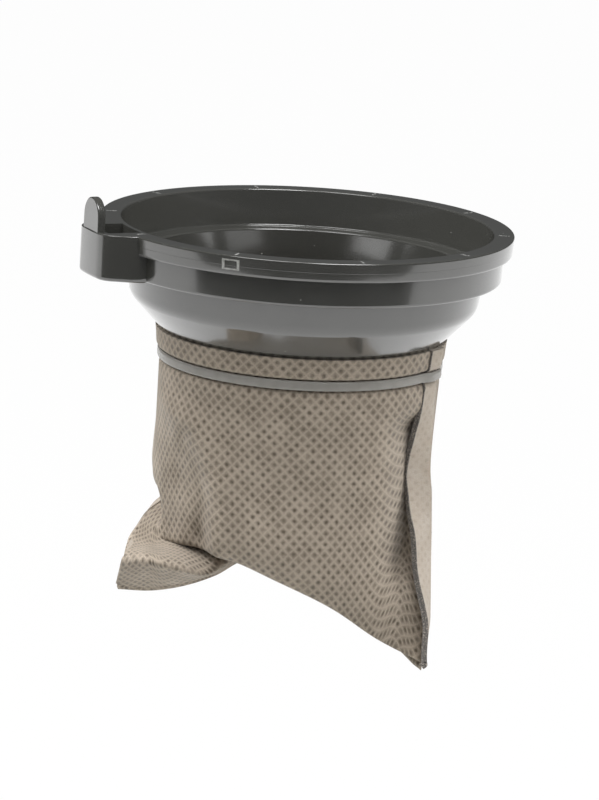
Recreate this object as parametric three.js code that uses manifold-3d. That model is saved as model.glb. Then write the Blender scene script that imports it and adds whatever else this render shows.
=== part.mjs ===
// Vacuum filter: a stepped, funnel-shaped ring moulded in one piece with a hollow side lug,
// a cloth bag on its neck, and an elastic band that holds the bag's collar in a groove.
// Millimetres, +Z up. The origin is on the ring's axis, in the plane of the flange's underside,
// which is the face that the ring is held by. The lug points along -X.
import * as THREE from 'three';
import { mergeVertices } from 'three/addons/utils/BufferGeometryUtils.js';
import Module from 'manifold-3d';

const wasm = await Module();
wasm.setup();

// Flange and the stepped wall below it
const flangeRadius = 53.0;
const flangeHeight = 5.0;
const flangeDraft = 0.25;
const edgeRound = 0.5;
const flangeLip = 2.5;
const bodyDepth = 6.9;
const wallDraft = 0.25;
const stepInset = 4.8;
const stepDepth = 5.8;
const stepRound = 2.2;
const coneDepth = 7.9;

// Inside of the ring
const rimWidth = 5.3;
const boreDraft = 1.2;
const ledgeBelowTop = 9.5;
const ledgeWidth = 5.0;
const coneWall = 2.6;

// Neck, its groove and the lip below the groove
const neckRadius = 36.0;
const neckBore = 32.2;
const neckLength = 11.4;
const neckShoulder = 0.6;
const lipRound = 0.5;

// Cloth of the bag
const clothThickness = 0.7;
const clearance = 0.3;
const collarFlare = 0.3;
const collarHeight = 4.8;
const bagLength = 73.0;
const flapWidth = 7.0;
const foldSlot = 1.6;
const seamTurn = -17.0;
const bagTurn = -25.3;

// Elastic band over the collar
const bandHeight = 2.45;
const bandThickness = 1.25;
const bandBite = 0.95;

// Side lug with its pocket and fin
const lugStandOff = 7.4;
const lugTipHalfWidth = 8.0;
const lugRootHalfWidth = 11.2;
const lugCorner = 3.0;
const lugWall = 2.4;
const lugFloor = 2.0;
const pocketHalfWidth = 6.0;
const pocketInnerWall = 1.5;
const finHeight = 8.2;
const finWidth = 9.4;
const finInset = 0.3;

// Fineness of the faces
const ringSegments = 72;
const bandSegments = 48;
const bandCorners = 8;
const clothColumns = 56;
const clothRows = 28;
const curveSegments = 8;
const cutMargin = 2.0;

// Heights and radii that follow from the sizes above
const bodyRadius = flangeRadius - flangeLip;
const stepRadius = bodyRadius - stepInset;
const boreRadius = flangeRadius - rimWidth;
const lugReach = flangeRadius + lugStandOff;
const bodyBottom = -bodyDepth;
const stepBottom = bodyBottom - stepDepth;
const coneTop = stepBottom - stepRound;
const coneBottom = coneTop - coneDepth;
const neckTop = coneBottom - neckShoulder;
const neckBottom = neckTop - neckLength;
const ledgeHeight = flangeHeight - ledgeBelowTop;
const ledgeOuter = boreRadius - boreDraft;
const ledgeInner = ledgeOuter - ledgeWidth;
const halfCloth = clothThickness / 2;
const clothOffset = clearance + halfCloth;
const collarTop = neckTop - clearance;
const collarRadius = neckRadius + clothOffset;
const bandTop = collarTop - collarHeight;
const bandBottom = bandTop - bandHeight;
const bandOuter = collarRadius + halfCloth - bandBite + bandThickness / 2;
const bandInner = bandOuter - bandThickness;
const clothInGroove = bandInner - clothOffset;
const grooveFloor = clothInGroove - clothOffset;
const grooveTop = bandTop + 2 * clothOffset;
const grooveBottom = bandBottom - 2 * clothOffset;
const lipRadius = neckRadius - bandBite;
const bagRadius = lipRadius + clothOffset;
const bagTop = grooveBottom - clearance;
const onLip = (bagTop - neckBottom) / bagLength;

function material(colour, roughness) {
  return new THREE.MeshStandardMaterial({ color: colour, roughness: roughness, metalness: 0 });
}

const darkPlastic = material(0x3d3e40, 0.35);
const greyElastic = material(0x8b8c8a, 0.5);
const taupeCloth = material(0x9b8f82, 0.9);

// Joins doubled corners, so that a geometry becomes a closed solid that can be cut and joined
function toSolid(geometry) {
  const plain = geometry.clone();
  plain.deleteAttribute('normal');
  plain.deleteAttribute('uv');
  const merged = mergeVertices(plain, 1e-4);
  const vertProperties = new Float32Array(merged.attributes.position.array);
  const triVerts = new Uint32Array(merged.index.array);
  return new wasm.Manifold(new wasm.Mesh({ numProp: 3, vertProperties, triVerts }));
}

function toGeometry(solid) {
  const mesh = solid.getMesh();
  const geometry = new THREE.BufferGeometry();
  geometry.setAttribute('position', new THREE.Float32BufferAttribute(mesh.vertProperties, 3));
  geometry.setIndex(new THREE.Uint32BufferAttribute(mesh.triVerts, 1));
  geometry.computeVertexNormals();
  return geometry;
}

function pointsToGeometry(points, triangles) {
  const geometry = new THREE.BufferGeometry().setFromPoints(points);
  geometry.setIndex(triangles);
  return geometry;
}

function toMesh(geometry, name, finish) {
  const mesh = new THREE.Mesh(geometry, finish);
  mesh.name = name;
  return mesh;
}

// Turns a closed outline of [radius, height] points round the Z axis
function revolve(outline, segments) {
  const points = outline.map(([radius, height]) => new THREE.Vector2(radius, height));
  points.push(points[0].clone());
  const geometry = new THREE.LatheGeometry(points, segments);
  geometry.rotateX(Math.PI / 2);
  return geometry;
}

// A quarter-round from the point at angle start to the point at angle end, in degrees
function arcPoints(centre, radius, start, end, steps) {
  const points = [];
  for (let i = 0; i <= steps; i += 1) {
    const angle = THREE.MathUtils.degToRad(start + (end - start) * i / steps);
    points.push([centre[0] + radius * Math.cos(angle), centre[1] + radius * Math.sin(angle)]);
  }
  return points;
}

// Section of the ring, from the neck's lower end up the outside and back down the inside
function ringOutline() {
  const stepRadiusLow = stepRadius - wallDraft;
  const coneWallUp = coneWall * Math.SQRT2;
  return [
    [neckBore, neckBottom],
    ...arcPoints([lipRadius - lipRound, neckBottom + lipRound], lipRound, -90, 0, 2),
    [lipRadius, grooveBottom],
    [grooveFloor, grooveBottom],
    [grooveFloor, grooveTop],
    [neckRadius, grooveTop],
    [neckRadius, neckTop],
    [neckRadius + neckShoulder, coneBottom],
    ...arcPoints([stepRadiusLow - stepRound, stepBottom], stepRound, -45, 0, 3),
    [stepRadius, bodyBottom],
    [bodyRadius - wallDraft, bodyBottom],
    [bodyRadius, 0],
    [flangeRadius - flangeDraft, 0],
    ...arcPoints([flangeRadius - edgeRound, flangeHeight - edgeRound], edgeRound, 0, 90, 2),
    [boreRadius + edgeRound, flangeHeight],
    [boreRadius, flangeHeight - edgeRound],
    [ledgeOuter, ledgeHeight],
    [ledgeInner, ledgeHeight],
    [ledgeInner, coneTop + coneWallUp / 2],
    [neckBore, coneTop + coneWallUp / 2 - (ledgeInner - neckBore)],
  ];
}

// The lug's plan: slanted sides from the flange out to a face that is concentric with the ring
function lugPlan() {
  const root = boreRadius + pocketInnerWall / 2;
  const face = Math.sqrt(lugReach ** 2 - lugTipHalfWidth ** 2);
  const slant = (lugRootHalfWidth - lugTipHalfWidth) / lugStandOff;
  const faceEnd = lugTipHalfWidth - lugCorner;
  const faceEndAngle = Math.asin(faceEnd / lugReach);
  const faceEndX = -lugReach * Math.cos(faceEndAngle);
  const sideEnd = lugTipHalfWidth + slant * lugCorner;
  const plan = new THREE.Shape();
  plan.moveTo(-root, lugRootHalfWidth);
  plan.lineTo(-flangeRadius, lugRootHalfWidth);
  plan.lineTo(-face + lugCorner, sideEnd);
  plan.quadraticCurveTo(-face, lugTipHalfWidth, faceEndX, faceEnd);
  plan.absarc(0, 0, lugReach, Math.PI - faceEndAngle, Math.PI + faceEndAngle, false);
  plan.quadraticCurveTo(-face, -lugTipHalfWidth, -face + lugCorner, -sideEnd);
  plan.lineTo(-flangeRadius, -lugRootHalfWidth);
  plan.lineTo(-root, -lugRootHalfWidth);
  plan.closePath();
  return plan;
}

// The pocket's plan: its inner side follows the bore, its outer side the lug's face
function pocketPlan() {
  const inner = boreRadius + pocketInnerWall;
  const outer = lugReach - lugWall;
  const innerAngle = Math.asin(pocketHalfWidth / inner);
  const outerAngle = Math.asin(pocketHalfWidth / outer);
  const plan = new THREE.Shape();
  plan.absarc(0, 0, outer, Math.PI - outerAngle, Math.PI + outerAngle, false);
  plan.absarc(0, 0, inner, Math.PI + innerAngle, Math.PI - innerAngle, true);
  plan.closePath();
  return plan;
}

function extrude(plan, depth) {
  return new THREE.ExtrudeGeometry(plan, { depth, bevelEnabled: false, curveSegments });
}

function extrudeUp(plan, bottom, height) {
  const geometry = extrude(plan, height);
  geometry.translate(0, 0, bottom);
  return toSolid(geometry);
}

// The fin: an upright tab with a round top, standing in the lug's outer wall
function finSolid() {
  const half = finWidth / 2;
  const shoulder = flangeHeight + finHeight - half;
  const face = new THREE.Shape();
  face.moveTo(-half, flangeHeight - lugWall);
  face.lineTo(half, flangeHeight - lugWall);
  face.lineTo(half, shoulder);
  face.absarc(0, shoulder, half, 0, Math.PI, false);
  face.closePath();
  const thickness = lugWall - finInset;
  const geometry = extrude(face, thickness);
  geometry.rotateX(Math.PI / 2);
  geometry.rotateZ(-Math.PI / 2);
  geometry.translate(finInset - lugReach + thickness, 0, 0);
  return toSolid(geometry);
}

function buildRing() {
  const turned = toSolid(revolve(ringOutline(), ringSegments));
  const lug = extrudeUp(lugPlan(), bodyBottom, flangeHeight + bodyDepth);
  const pocketBottom = bodyBottom + lugFloor;
  const pocket = extrudeUp(pocketPlan(), pocketBottom, flangeHeight - pocketBottom + cutMargin);
  const ring = turned.add(lug).subtract(pocket).add(finSolid());
  return toMesh(toGeometry(ring), 'filter_ring', darkPlastic);
}

// The band's section is a rounded bar
function buildBand() {
  const centre = [(bandOuter + bandInner) / 2, (bandTop + bandBottom) / 2];
  const outline = [];
  const squared = (value) => Math.sign(value) * Math.sqrt(Math.abs(value));
  for (let i = 0; i < bandCorners; i += 1) {
    const angle = 2 * Math.PI * (i + 0.5) / bandCorners;
    outline.push([
      centre[0] + bandThickness / 2 * squared(Math.cos(angle)),
      centre[1] + bandHeight / 2 * squared(Math.sin(angle)),
    ]);
  }
  return toMesh(revolve(outline, bandSegments), 'retaining_band', greyElastic);
}

// How the cloth rolls over the groove's upper edge and out over the lower one, as [share of the
// way in or out, height in cloth thicknesses above the edge]
const rollIn = [[0.12, 0.3], [0.35, 0], [0.75, -0.1], [0.95, -0.6], [1, -1.4]];
const rollOut = [[0, 1.4], [0.1, 0.6], [0.35, 0.1], [0.75, -0.3], [0.95, -0.9]];

// The cloth's middle line over the neck, as [radius, height]: collar, groove under the band, lip
function collarLine() {
  const dip = collarRadius - clothInGroove;
  const rise = bagRadius - clothInGroove;
  const over = bandTop + clothOffset;
  const under = bandBottom - clothOffset;
  return [
    [collarRadius + collarFlare, collarTop],
    [collarRadius + collarFlare / 4, collarTop - collarHeight / 3],
    [collarRadius, over + clothThickness],
    ...rollIn.map(([inward, up]) => [collarRadius - inward * dip, over + up * clothThickness]),
    ...rollOut.map(([outward, up]) => [clothInGroove + outward * rise, under + up * clothThickness]),
  ];
}

// Lines that the plies pass through, from the right seam to the left one, in the bag's own axes
// (X right and Y away as the bag is seen from the front): share of the width, share of the length,
// then X and Y in shares of the bag's radius, and how far below the neck in shares of its length.
// The front ply hangs down to a crease, tucks in under it, comes forward again over the left half
// as a shelf and drops from the shelf's edge to the bottom fold. The rows of faces follow these
// lines, so each has its share of the rows above it.
const frontCrease = [
  [0, 0.95, 1.01, -0.826, 0.93],
  [0.15, 0.88, 0.673, -0.812, 0.855],
  [0.3, 0.8, 0.333, -0.756, 0.764],
  [0.45, 0.7, -0.092, -0.672, 0.679],
  [0.58, 0.6, -0.428, -0.616, 0.623],
  [0.7, 0.54, -0.668, -0.574, 0.592],
  [0.8, 0.52, -0.837, -0.448, 0.592],
  [0.9, 0.51, -0.987, -0.25, 0.57],
  [1, 0.51, -1.04, -0.1, 0.54],
];
const frontTuck = [
  [0, 0.965, 1.011, -0.829, 0.936],
  [0.15, 0.92, 0.717, -0.616, 0.864],
  [0.3, 0.865, 0.345, -0.476, 0.756],
  [0.45, 0.8, -0.099, -0.364, 0.659],
  [0.58, 0.72, -0.409, -0.28, 0.606],
  [0.7, 0.66, -0.64, -0.266, 0.604],
  [0.8, 0.62, -0.823, -0.364, 0.612],
  [0.9, 0.62, -1, -0.42, 0.618],
  [1, 0.68, -1.138, -0.392, 0.611],
];
const shelfEdge = [
  [0, 0.98, 1.012, -0.835, 0.943],
  [0.15, 0.96, 0.764, -0.42, 0.895],
  [0.3, 0.93, 0.374, -0.252, 0.775],
  [0.45, 0.91, -0.044, -0.28, 0.653],
  [0.58, 0.9, -0.346, -0.42, 0.624],
  [0.7, 0.92, -0.576, -0.756, 0.669],
  [0.8, 0.93, -0.773, -0.938, 0.637],
  [0.9, 0.91, -0.973, -0.924, 0.621],
  [1, 0.86, -1.163, -0.728, 0.647],
];
const bottomFold = [
  [0, 1, 0.992, -0.84, 0.957],
  [0.15, 1, 0.782, -0.392, 0.92],
  [0.3, 1, 0.391, -0.168, 0.792],
  [0.45, 1, 0.004, -0.224, 0.695],
  [0.58, 1, -0.301, -0.364, 0.651],
  [0.7, 1, -0.526, -0.728, 0.673],
  [0.8, 1, -0.732, -0.924, 0.693],
  [0.9, 1, -0.962, -0.98, 0.711],
  [1, 1, -1.204, -0.924, 0.721],
];
const backBelly = [
  [0, 0.63, 0.98, -0.3, 0.62],
  [0.25, 0.63, 0.62, 0.34, 0.62],
  [0.5, 0.63, 0, 0.56, 0.6],
  [0.75, 0.63, -0.55, 0.3, 0.66],
  [1, 0.63, -0.85, -0.1, 0.74],
];
const frontLines = [frontCrease, frontTuck, shelfEdge, bottomFold];
const rowsAbove = [0.5, 0.64, 0.86, 1];
const backLines = [backBelly, bottomFold];

// Lines on the flat cloth that creases follow, as [share of the width from the right seam, share
// of the length below the neck]
const ridge = [[0.78, 0.06], [0.68, 0.14], [0.6, 0.35], [0.6, 0.55]];
const valley = [[0.68, 0.2], [0.64, 0.3], [0.63, 0.4], [0.66, 0.5]];
const dimple = [[0.74, 0.34], [0.82, 0.46]];
const besideFlap = [[0.09, 0.16], [0.085, 0.6]];
const rightSide = [[0, 0.4], [0, 0.8]];
const pinch = [[0.9, 0.45], [1, 0.45]];

// How far the cloth along each line is pushed along X, Y and Z, and how far to each side the push
// spreads, both in shares of the bag's radius
const creases = [
  { frontOnly: true, line: ridge, push: [-0.03, -0.1, 0], spread: 0.16 },
  { frontOnly: true, line: valley, push: [0, 0.09, 0], spread: 0.13 },
  { frontOnly: true, line: dimple, push: [0, 0.08, 0], spread: 0.2 },
  { frontOnly: true, line: besideFlap, push: [0, 0.24, 0], spread: 0.19 },
  { frontOnly: false, line: rightSide, push: [0.02, 0, 0], spread: 0.14 },
  { frontOnly: false, line: pinch, push: [0.15, 0.05, 0], spread: 0.1 },
];

// Where the flap beyond each side seam points, as [share of the length below the neck, X, Y]
const rightFlapLean = [
  [0, -0.4, -0.92],
  [0.1, -0.5, -0.87],
  [0.2, -0.7, -0.71],
  [0.33, -0.9, -0.44],
  [0.42, -0.85, -0.53],
  [0.52, -0.62, -0.78],
  [0.64, -0.5, -0.87],
  [0.8, -0.1, -1],
  [1, 0, -1],
];
const leftFlapLean = [
  [0, -0.1, 1],
  [0.5, 0, 1],
  [1, 0, 1],
];

// Half-way down to its first line the cloth has gone this share of the way from the neck's circle
// to that line. The back ply is led to the front one at both seams, and the two plies close in on
// each other at the fold. Creases start below the neck, at so many times the lip's share.
const waistEase = 0.36;
const seamPower = 3;
const closingPower = 3;
const creaseStart = 5;
const foldStep = 0.01;

// Smooth curve through rows of numbers whose first number is the place along it
function curveAt(rows, place) {
  let i = 0;
  while (i < rows.length - 2 && place > rows[i + 1][0]) {
    i += 1;
  }
  const slope = (k) => {
    const before = rows[Math.max(k - 1, 0)];
    const after = rows[Math.min(k + 1, rows.length - 1)];
    return after.slice(1).map((value, n) => (value - before[n + 1]) / (after[0] - before[0]));
  };
  const step = rows[i + 1][0] - rows[i][0];
  const s = (place - rows[i][0]) / step;
  const from = slope(i);
  const to = slope(i + 1);
  return from.map((_, n) => (2 * s ** 3 - 3 * s ** 2 + 1) * rows[i][n + 1]
    + (s ** 3 - 2 * s ** 2 + s) * step * from[n]
    + (3 * s ** 2 - 2 * s ** 3) * rows[i + 1][n + 1]
    + (s ** 3 - s ** 2) * step * to[n]);
}

// Distance on the flat cloth from a point to a line of points
function distanceToLine(point, line) {
  let nearest = Infinity;
  for (let i = 0; i < line.length - 1; i += 1) {
    const along = new THREE.Vector2().subVectors(line[i + 1], line[i]);
    const toPoint = new THREE.Vector2().subVectors(point, line[i]);
    const share = THREE.MathUtils.clamp(toPoint.dot(along) / along.lengthSq(), 0, 1);
    nearest = Math.min(nearest, toPoint.sub(along.multiplyScalar(share)).length());
  }
  return nearest;
}

// How far all creases together push the cloth at one place
function creasePush(isFront, across, down) {
  const width = Math.PI * bagRadius;
  const here = new THREE.Vector2(across * width, down * bagLength);
  const total = new THREE.Vector3();
  for (const crease of creases) {
    if (crease.frontOnly && !isFront) {
      continue;
    }
    const line = crease.line.map(([a, d]) => new THREE.Vector2(a * width, d * bagLength));
    const distance = distanceToLine(here, line) / (crease.spread * bagRadius);
    const strength = bagRadius * Math.exp(-(distance ** 2));
    total.add(new THREE.Vector3(...crease.push).multiplyScalar(strength));
  }
  const easeIn = THREE.MathUtils.smoothstep(down, onLip, creaseStart * onLip);
  return total.multiplyScalar(easeIn);
}

// Point of one ply in shares of the bag's sizes, on the smooth curve from the circle at the neck
// through a point on the way and through the ply's lines. turn is the column's share of a turn.
function plyPoint(lines, turn, across, down) {
  const angle = THREE.MathUtils.degToRad(seamTurn - 360 * turn);
  const circle = [Math.cos(angle), Math.sin(angle)];
  const guides = lines.map((line) => curveAt(line, across));
  const [firstDown, firstX, firstY, firstDrop] = guides[0];
  const waist = [
    firstDown / 2,
    THREE.MathUtils.lerp(circle[0], firstX, waistEase),
    THREE.MathUtils.lerp(circle[1], firstY, waistEase),
    firstDrop / 2,
  ];
  const knots = [[0, ...circle, 0], [onLip, ...circle, onLip], waist, ...guides];
  return new THREE.Vector3(...curveAt(knots, down));
}

// Share of the length at a row, in even steps from each front line to the next
function downAt(across, row) {
  const i = rowsAbove.findIndex((share) => row <= share);
  const [above, below] = [i - 1, i].map((k) => (k < 0 ? 0 : curveAt(frontLines[k], across)[0]));
  return THREE.MathUtils.mapLinear(row, i > 0 ? rowsAbove[i - 1] : 0, rowsAbove[i], above, below);
}

function frontPoint(across, down) {
  return plyPoint(frontLines, across / 2, across, down);
}

function backPoint(across, down) {
  return plyPoint(backLines, 1 - across / 2, across, down);
}

// Point of the cloth's middle surface below the neck. column runs round the bag from the right
// seam over the front; row runs from 0 at the neck to 1 at the bottom fold.
function clothPoint(column, row) {
  const half = clothColumns / 2;
  const isFront = column <= half;
  const across = isFront ? column / half : (clothColumns - column) / half;
  const down = downAt(across, row);
  const share = isFront ? frontPoint(across, down) : backPoint(across, down);
  if (!isFront) {
    const rightGap = frontPoint(0, down).sub(backPoint(0, down));
    const leftGap = frontPoint(1, down).sub(backPoint(1, down));
    share.addScaledVector(rightGap, (1 - across) ** seamPower);
    share.addScaledVector(leftGap, across ** seamPower);
  }
  const ahead = curveAt(bottomFold, Math.min(across + foldStep, 1));
  const behind = curveAt(bottomFold, Math.max(across - foldStep, 0));
  const along = new THREE.Vector2(ahead[1] - behind[1], ahead[2] - behind[2]).normalize();
  const nearSeam = Math.min(1, Math.min(across, 1 - across) * half);
  const apart = (isFront ? 1 : -1) * foldSlot / 2 * nearSeam * down ** closingPower;
  const point = new THREE.Vector3(
    bagRadius * share.x - along.y * apart,
    bagRadius * share.y + along.x * apart,
    bagTop - bagLength * share.z,
  );
  return point.add(creasePush(isFront, across, down));
}

// All points of the cloth's middle surface, row by row
function clothGrid() {
  const rows = collarLine().map(([radius, height]) => {
    const row = [];
    for (let column = 0; column < clothColumns; column += 1) {
      const angle = THREE.MathUtils.degToRad(seamTurn - 360 * column / clothColumns);
      row.push(new THREE.Vector3(radius * Math.cos(angle), radius * Math.sin(angle), height));
    }
    return row;
  });
  for (let r = 0; r <= clothRows; r += 1) {
    const row = [];
    for (let column = 0; column < clothColumns; column += 1) {
      row.push(clothPoint(column, r / clothRows));
    }
    rows.push(row);
  }
  return rows;
}

// Outward direction of the cloth at one point of the grid
function clothNormal(grid, r, column) {
  const above = grid[Math.max(r - 1, 0)][column];
  const below = grid[Math.min(r + 1, grid.length - 1)][column];
  const before = grid[r][(column + clothColumns - 1) % clothColumns];
  const after = grid[r][(column + 1) % clothColumns];
  const down = new THREE.Vector3().subVectors(below, above);
  const round = new THREE.Vector3().subVectors(after, before);
  return down.cross(round).normalize();
}

// The grid moved outward along the cloth's own direction
function offsetRows(grid, distance) {
  return grid.map((row, r) => row.map((point, column) => (
    point.clone().addScaledVector(clothNormal(grid, r, column), distance)
  )));
}

function addQuad(triangles, a, b, c, d) {
  triangles.push(a, b, c);
  triangles.push(a, c, d);
}

// Faces between the rows of a grid whose points are numbered from first on
function wallFaces(triangles, first, rowCount, facesIn) {
  for (let r = 0; r < rowCount - 1; r += 1) {
    for (let c = 0; c < clothColumns; c += 1) {
      const a = first + r * clothColumns + c;
      const b = first + r * clothColumns + (c + 1) % clothColumns;
      if (facesIn) {
        addQuad(triangles, a, b, b + clothColumns, a + clothColumns);
      } else {
        addQuad(triangles, a, a + clothColumns, b + clothColumns, b);
      }
    }
  }
}

// Faces between the front and the back half of a grid's last row, which close it along the fold
function foldFaces(triangles, first, facesIn) {
  for (let c = 0; c < clothColumns / 2; c += 1) {
    const back = clothColumns - c;
    const corners = [c, c + 1, back - 1, back % clothColumns].map((column) => first + column);
    if (!facesIn) {
      corners.reverse();
    }
    const [a, b, d, e] = corners.filter((value, i) => corners.indexOf(value) === i);
    triangles.push(a, b, d);
    if (e !== undefined) {
      triangles.push(a, d, e);
    }
  }
}

// Closed wall of cloth round the grid: an outer and an inner face, a rim at the mouth, and each
// face closed along the bottom fold, where the front and back ply meet
function clothShell(grid) {
  const lastRow = grid.length - 1;
  const outer = offsetRows(grid, halfCloth);
  const inner = offsetRows(grid, -halfCloth);
  outer.push(outer[lastRow].map((point, c) => {
    const downward = new THREE.Vector3().subVectors(grid[lastRow][c], grid[lastRow - 1][c]);
    return point.clone().addScaledVector(downward.normalize(), clothThickness);
  }));
  const points = [...outer, ...inner].flat();
  const firstInner = outer.length * clothColumns;
  const triangles = [];
  wallFaces(triangles, 0, outer.length, false);
  wallFaces(triangles, firstInner, inner.length, true);
  for (let c = 0; c < clothColumns; c += 1) {
    const next = (c + 1) % clothColumns;
    addQuad(triangles, c, next, firstInner + next, firstInner + c);
  }
  foldFaces(triangles, firstInner - clothColumns, false);
  foldFaces(triangles, firstInner + lastRow * clothColumns, true);
  return pointsToGeometry(points, triangles);
}

// The flap beyond a side seam: a strip of both plies, from just below the band to the bottom fold
function seamFlap(grid, column, lean) {
  const firstRow = grid.length - clothRows;
  const lastRow = grid.length - 1;
  const points = [];
  for (let r = firstRow; r <= lastRow; r += 1) {
    const point = grid[r][column];
    const down = downAt(2 * column / clothColumns, (r - firstRow) / (lastRow - firstRow));
    const [x, y] = curveAt(lean, down);
    const outward = new THREE.Vector3(x, y, 0).normalize();
    const downward = new THREE.Vector3().subVectors(point, grid[r - 1][column]);
    const side = new THREE.Vector3().crossVectors(outward, downward).setLength(clothThickness);
    const root = point.clone().addScaledVector(outward, -halfCloth);
    const edge = point.clone().addScaledVector(outward, flapWidth);
    points.push(root.clone().add(side), edge.clone().add(side), edge.sub(side), root.sub(side));
  }
  const end = points.length - 4;
  const triangles = [];
  for (let first = 0; first < end; first += 4) {
    for (let k = 0; k < 4; k += 1) {
      const a = first + k;
      const b = first + (k + 1) % 4;
      addQuad(triangles, a, b, b + 4, a + 4);
    }
  }
  addQuad(triangles, 0, 3, 2, 1);
  addQuad(triangles, end, end + 1, end + 2, end + 3);
  return toSolid(pointsToGeometry(points, triangles));
}

function buildBag() {
  const grid = clothGrid();
  const rightFlap = seamFlap(grid, 0, rightFlapLean);
  const leftFlap = seamFlap(grid, clothColumns / 2, leftFlapLean);
  const solid = toSolid(clothShell(grid)).add(rightFlap).add(leftFlap);
  return toMesh(toGeometry(solid), 'filter_bag', taupeCloth);
}

const filter = new THREE.Group();
filter.add(buildRing());
filter.add(buildBand());
const bagAxes = new THREE.Group();
bagAxes.rotation.z = THREE.MathUtils.degToRad(bagTurn);
bagAxes.add(buildBag());
filter.add(bagAxes);

export default filter;
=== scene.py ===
import math

import bmesh
import bpy
import numpy as np
from mathutils import Matrix, Vector


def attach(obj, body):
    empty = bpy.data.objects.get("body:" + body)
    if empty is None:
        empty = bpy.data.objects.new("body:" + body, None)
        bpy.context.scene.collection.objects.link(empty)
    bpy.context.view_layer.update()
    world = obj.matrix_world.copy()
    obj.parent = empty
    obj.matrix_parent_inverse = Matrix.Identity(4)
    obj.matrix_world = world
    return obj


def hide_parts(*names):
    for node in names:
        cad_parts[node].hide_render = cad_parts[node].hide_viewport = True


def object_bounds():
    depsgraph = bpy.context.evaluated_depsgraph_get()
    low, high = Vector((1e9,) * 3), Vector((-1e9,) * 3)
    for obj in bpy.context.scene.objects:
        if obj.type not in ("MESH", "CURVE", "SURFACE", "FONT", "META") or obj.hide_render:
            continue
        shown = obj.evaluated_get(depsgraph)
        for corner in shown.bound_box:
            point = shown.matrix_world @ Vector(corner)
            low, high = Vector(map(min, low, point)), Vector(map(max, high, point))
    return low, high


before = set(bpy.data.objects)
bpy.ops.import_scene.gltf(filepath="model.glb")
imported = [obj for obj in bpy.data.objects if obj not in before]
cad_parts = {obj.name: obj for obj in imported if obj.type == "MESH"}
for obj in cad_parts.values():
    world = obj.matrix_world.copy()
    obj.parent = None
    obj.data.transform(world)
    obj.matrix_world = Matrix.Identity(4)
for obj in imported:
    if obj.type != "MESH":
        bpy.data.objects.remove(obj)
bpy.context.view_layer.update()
mm = 0.001


view = {
    "azimuth": -25.3,        # degrees round the part, 0 looks along +Y
    "elevation": 12.293,
    "roll": 3.382,
    "distance": 1471.1,      # mm from the point it looks at
    "lookAt": (0.513, -0.243, -41.24),
    "lens": 257.58,          # mm
    "clip": (0.05, 50),      # metres
}


def makeCamera():
    # stands back from lookAt along azimuth and elevation, then rolls about its line of sight
    azimuth, elevation, roll = (math.radians(view[key]) for key in ("azimuth", "elevation", "roll"))
    level = Vector((math.sin(azimuth), -math.cos(azimuth), 0))
    back = level * math.cos(elevation) + Vector((0, 0, math.sin(elevation)))
    right = Vector((math.cos(azimuth), math.sin(azimuth), 0))
    up = back.cross(right)
    across = right * math.cos(roll) + up * math.sin(roll)
    upright = up * math.cos(roll) - right * math.sin(roll)
    data = bpy.data.cameras.new("photoCamera")
    data.lens = view["lens"]
    data.clip_start, data.clip_end = view["clip"]
    camera = bpy.data.objects.new("photoCamera", data)
    bpy.context.scene.collection.objects.link(camera)
    place = Matrix((across, upright, back)).transposed().to_4x4()
    place.translation = (Vector(view["lookAt"]) + back * view["distance"]) * mm
    camera.matrix_world = place
    bpy.context.scene.camera = camera


makeCamera()
print("camera placed")


def linear(code):
    # sRGB hex to linear: c / 12.92 up to 0.04045, else ((c + 0.055) / 1.055) ** 2.4
    parts = [int(code[i:i + 2], 16) / 255 for i in (1, 3, 5)]
    return [c / 12.92 if c <= 0.04045 else ((c + 0.055) / 1.055) ** 2.4 for c in parts] + [1.0]


def addNode(tree, kind, inputs=None, **settings):
    # one node with its settings. An input given as a socket is linked to it, one given as a node
    # is linked to that node's first output, and any other is a value
    node = tree.nodes.new(kind)
    for key, value in settings.items():
        setattr(node, key, value)
    for key, value in (inputs or {}).items():
        if isinstance(value, bpy.types.Node):
            value = value.outputs[0]
        if isinstance(value, bpy.types.NodeSocket):
            tree.links.new(value, node.inputs[key])
        else:
            node.inputs[key].default_value = value
    return node


def newMaterial(name):
    # a material with an empty node tree
    material = bpy.data.materials.new(name)
    material.use_nodes = True
    material.node_tree.nodes.clear()
    return material, material.node_tree


def finishMaterial(tree, shader):
    # the shader becomes what the material shows
    addNode(tree, "ShaderNodeOutputMaterial", {"Surface": shader})


plastic = {
    "colour": "#383835",
    "dust": "#b9b9b5",
    "roughness": (0.13, 0.22),
    "ior": 1.9,
    "coatIor": 1.6,
    "coatRoughness": 0.08,
    "grainMm": 0.5,
    "grainDepth": 0.02,      # mm
    "grainStrength": 0.03,
    "cloudMm": 9.0,
    "speckMm": 2.2,
    "speckRadius": 0.055,    # in shares of speckMm
    "speckFree": 0.9,        # share of the places that have no speck
    # pale scores across the flange's top: how many, the first one's angle, radius from and to
    "scores": (10, -27.0, 48.9, 51.6),
    "scoreHalf": 0.0075,     # half a score's width, in shares of the angle between two scores
    "scorePaleness": 0.9,
    "scoreHeight": 4.85,     # only the flange's top lies above this
    # pinched square on the flange's wall: its angle, half width, half height, height of its middle
    "pinchMark": (-135.7, 2.3, 1.35, 2.7),
    "pinchFrame": (0.86, 0.15),      # its frame's middle and half width, in shares of half its size
    "pinchRadius": 52.6,     # only the flange's wall lies outside this
    "wallRadius": 53.0,
    "wearPerMm": 1.4,        # worn places in a millimetre
    "wearFrom": 0.45,
}


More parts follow.
